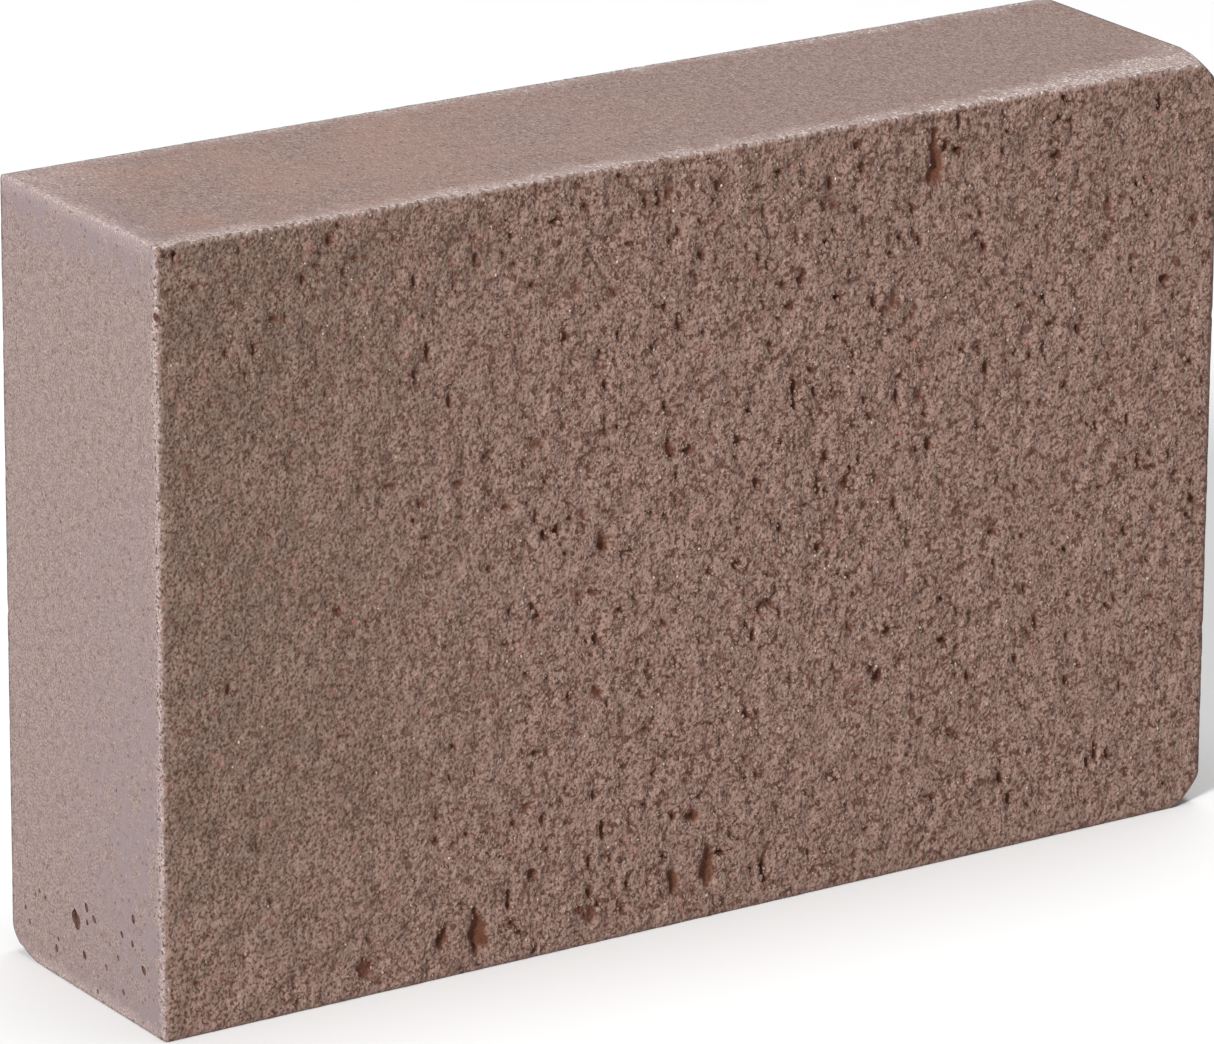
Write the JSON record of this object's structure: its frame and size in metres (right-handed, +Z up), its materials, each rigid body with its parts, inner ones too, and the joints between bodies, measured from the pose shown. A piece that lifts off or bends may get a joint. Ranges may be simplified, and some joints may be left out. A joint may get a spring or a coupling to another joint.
{
  "type": "abrasive rubber block",
  "caption": "Hand-held block of rubber filled with abrasive grit, for rubbing and cleaning metal; rough working faces, smooth moulded sides and rounded worn corners.",
  "frame": {"origin": "middle of the bounding box's base: the centre of the long narrow side that the block stands on", "axes": "+X along the block's length, +Y through its thickness from the front working face to the back one, +Z up"},
  "size_m": [0.08, 0.019, 0.0513],
  "materials": {
    "grit_filled_rubber": "matt, pinkish brown, grainy on the working faces and fine-grained on the moulded sides",
    "dark_abrasive": "dull, dark brown, splintery grains",
    "clear_abrasive": "glassy, whitish, splintery grains",
    "red_abrasive": "dull, dark pink, splintery grains"
  },
  "bodies": {
    "root": {"rubber_body": "grit_filled_rubber", "dark_grit": "dark_abrasive", "clear_grit": "clear_abrasive", "red_grit": "red_abrasive"}
  },
  "joints": []
}
